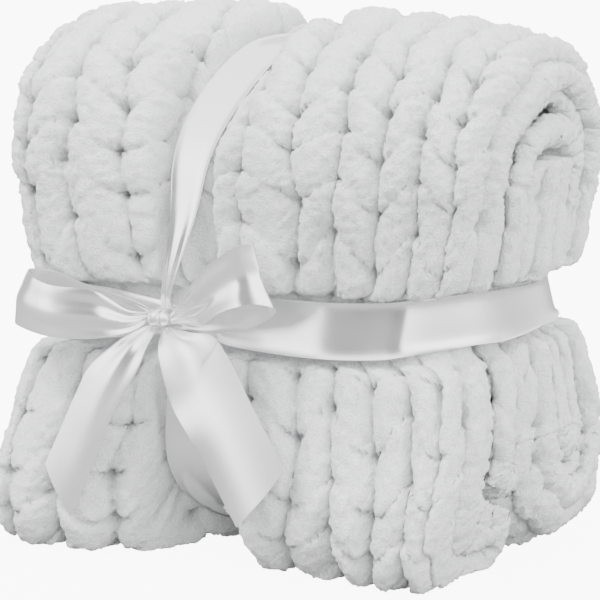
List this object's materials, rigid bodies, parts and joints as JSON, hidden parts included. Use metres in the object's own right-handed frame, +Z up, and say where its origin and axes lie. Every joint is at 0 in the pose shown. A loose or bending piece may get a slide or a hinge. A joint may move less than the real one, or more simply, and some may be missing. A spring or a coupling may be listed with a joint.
{
  "type": "folded chunky knit throw blanket tied with a ribbon",
  "caption": "Chunky knit throw folded into a soft block and tied both ways round with a wide satin ribbon and a bow, standing on its folded edge",
  "frame": {"origin": "centre of the base of the whole part's bounding box, on the surface it stands on", "axes": "+Z up; -Y towards the side with the bow; +X towards the side folds, on the right as the bow is faced"},
  "size_m": [0.4602, 0.3253, 0.4487],
  "materials": {
    "yarn": "soft matt pile of chenille yarn, very pale grey-white",
    "satin": "glossy white satin"
  },
  "bodies": {
    "root": {"blanket": "yarn", "ribbon_upright": "satin", "ribbon_waist": "satin", "ribbon_knot": "satin", "bow_loop_left": "satin", "bow_loop_right": "satin", "bow_tail_left": "satin", "bow_tail_right": "satin"}
  },
  "joints": []
}
